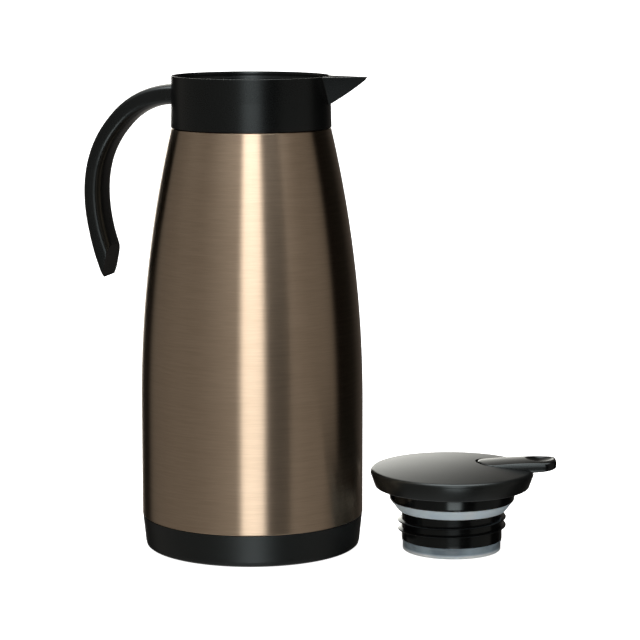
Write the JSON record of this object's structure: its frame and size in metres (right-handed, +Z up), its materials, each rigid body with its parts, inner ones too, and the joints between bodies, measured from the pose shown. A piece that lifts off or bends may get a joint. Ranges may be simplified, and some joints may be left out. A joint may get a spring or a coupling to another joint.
{
  "type": "insulated coffee jug",
  "caption": "Tall insulated steel coffee jug with an open-ended black handle and a beak spout, its screw-in lever stopper standing beside it.",
  "frame": {"origin": "on the jug's axis, on the surface that the foot ring stands on", "axes": "+Z up along the jug's axis, +X towards the spout, -X towards the handle; the stopper stands on the same surface at X 124.1 mm, Y 16.2 mm, turned 14 degrees about its own axis"},
  "size_m": [0.2938, 0.138, 0.2934],
  "materials": {
    "bronze_steel": "coffee-coloured steel, finely brushed round the body",
    "liner_steel": "plain drawn stainless steel",
    "plain_steel": "plain pressed steel",
    "black_plastic": "satin black moulding",
    "inner_plastic": "plain dark moulding",
    "gloss_black": "gloss black moulding",
    "charcoal_plastic": "matte charcoal moulding",
    "silicone": "translucent bluish silicone",
    "black_rubber": "black rubber",
    "fasteners": "plain steel",
    "spring_wire": "drawn steel wire"
  },
  "bodies": {
    "jug": {"outer_shell": "bronze_steel", "shell_bottom": "plain_steel", "inner_liner": "liner_steel", "getter": "plain_steel", "vacuum_plug": "plain_steel", "base_cup": "black_plastic", "foot_ring": "black_rubber", "collar": "black_plastic", "neck_gasket": "silicone", "neck_insert": "inner_plastic", "handle": "black_plastic", "handle_screws": "fasteners"},
    "stopper": {"plug_body": "gloss_black", "plug_gasket": "silicone", "bottom_seal": "silicone", "guide_plate": "inner_plastic", "guide_screws": "fasteners", "stem_oring": "black_rubber", "stopper_cover": "charcoal_plastic", "lever_pin": "fasteners", "valve_spring": "spring_wire"},
    "lever": {"thumb_lever": "gloss_black"},
    "valve": {"valve_stem": "fasteners", "valve_head": "inner_plastic", "valve_seal": "silicone", "stem_clip": "fasteners"}
  },
  "joints": [
    {"name": "stopper_lift", "type": "slide", "parent": "jug", "child": "stopper", "axis": [0, 0, 1], "range_m": [0, 0.3]},
    {"name": "lever_press", "type": "hinge", "parent": "stopper", "child": "lever", "pos_m": [0.15903, 0.02491, 0.0475], "axis": [-0.2419, 0.9703, 0], "range_deg": [0, 7], "stiffness_Nm_per_rad": 1.5, "springref_deg": -2.86},
    {"name": "valve_lift", "type": "slide", "parent": "stopper", "child": "valve", "axis": [0, 0, 1], "range_m": [0, 0.0045], "deforming": ["valve_spring"]}
  ],
  "couplings": [
    {"joint": "valve_lift", "follows": "lever_press", "m_per_rad": 0.036}
  ]
}
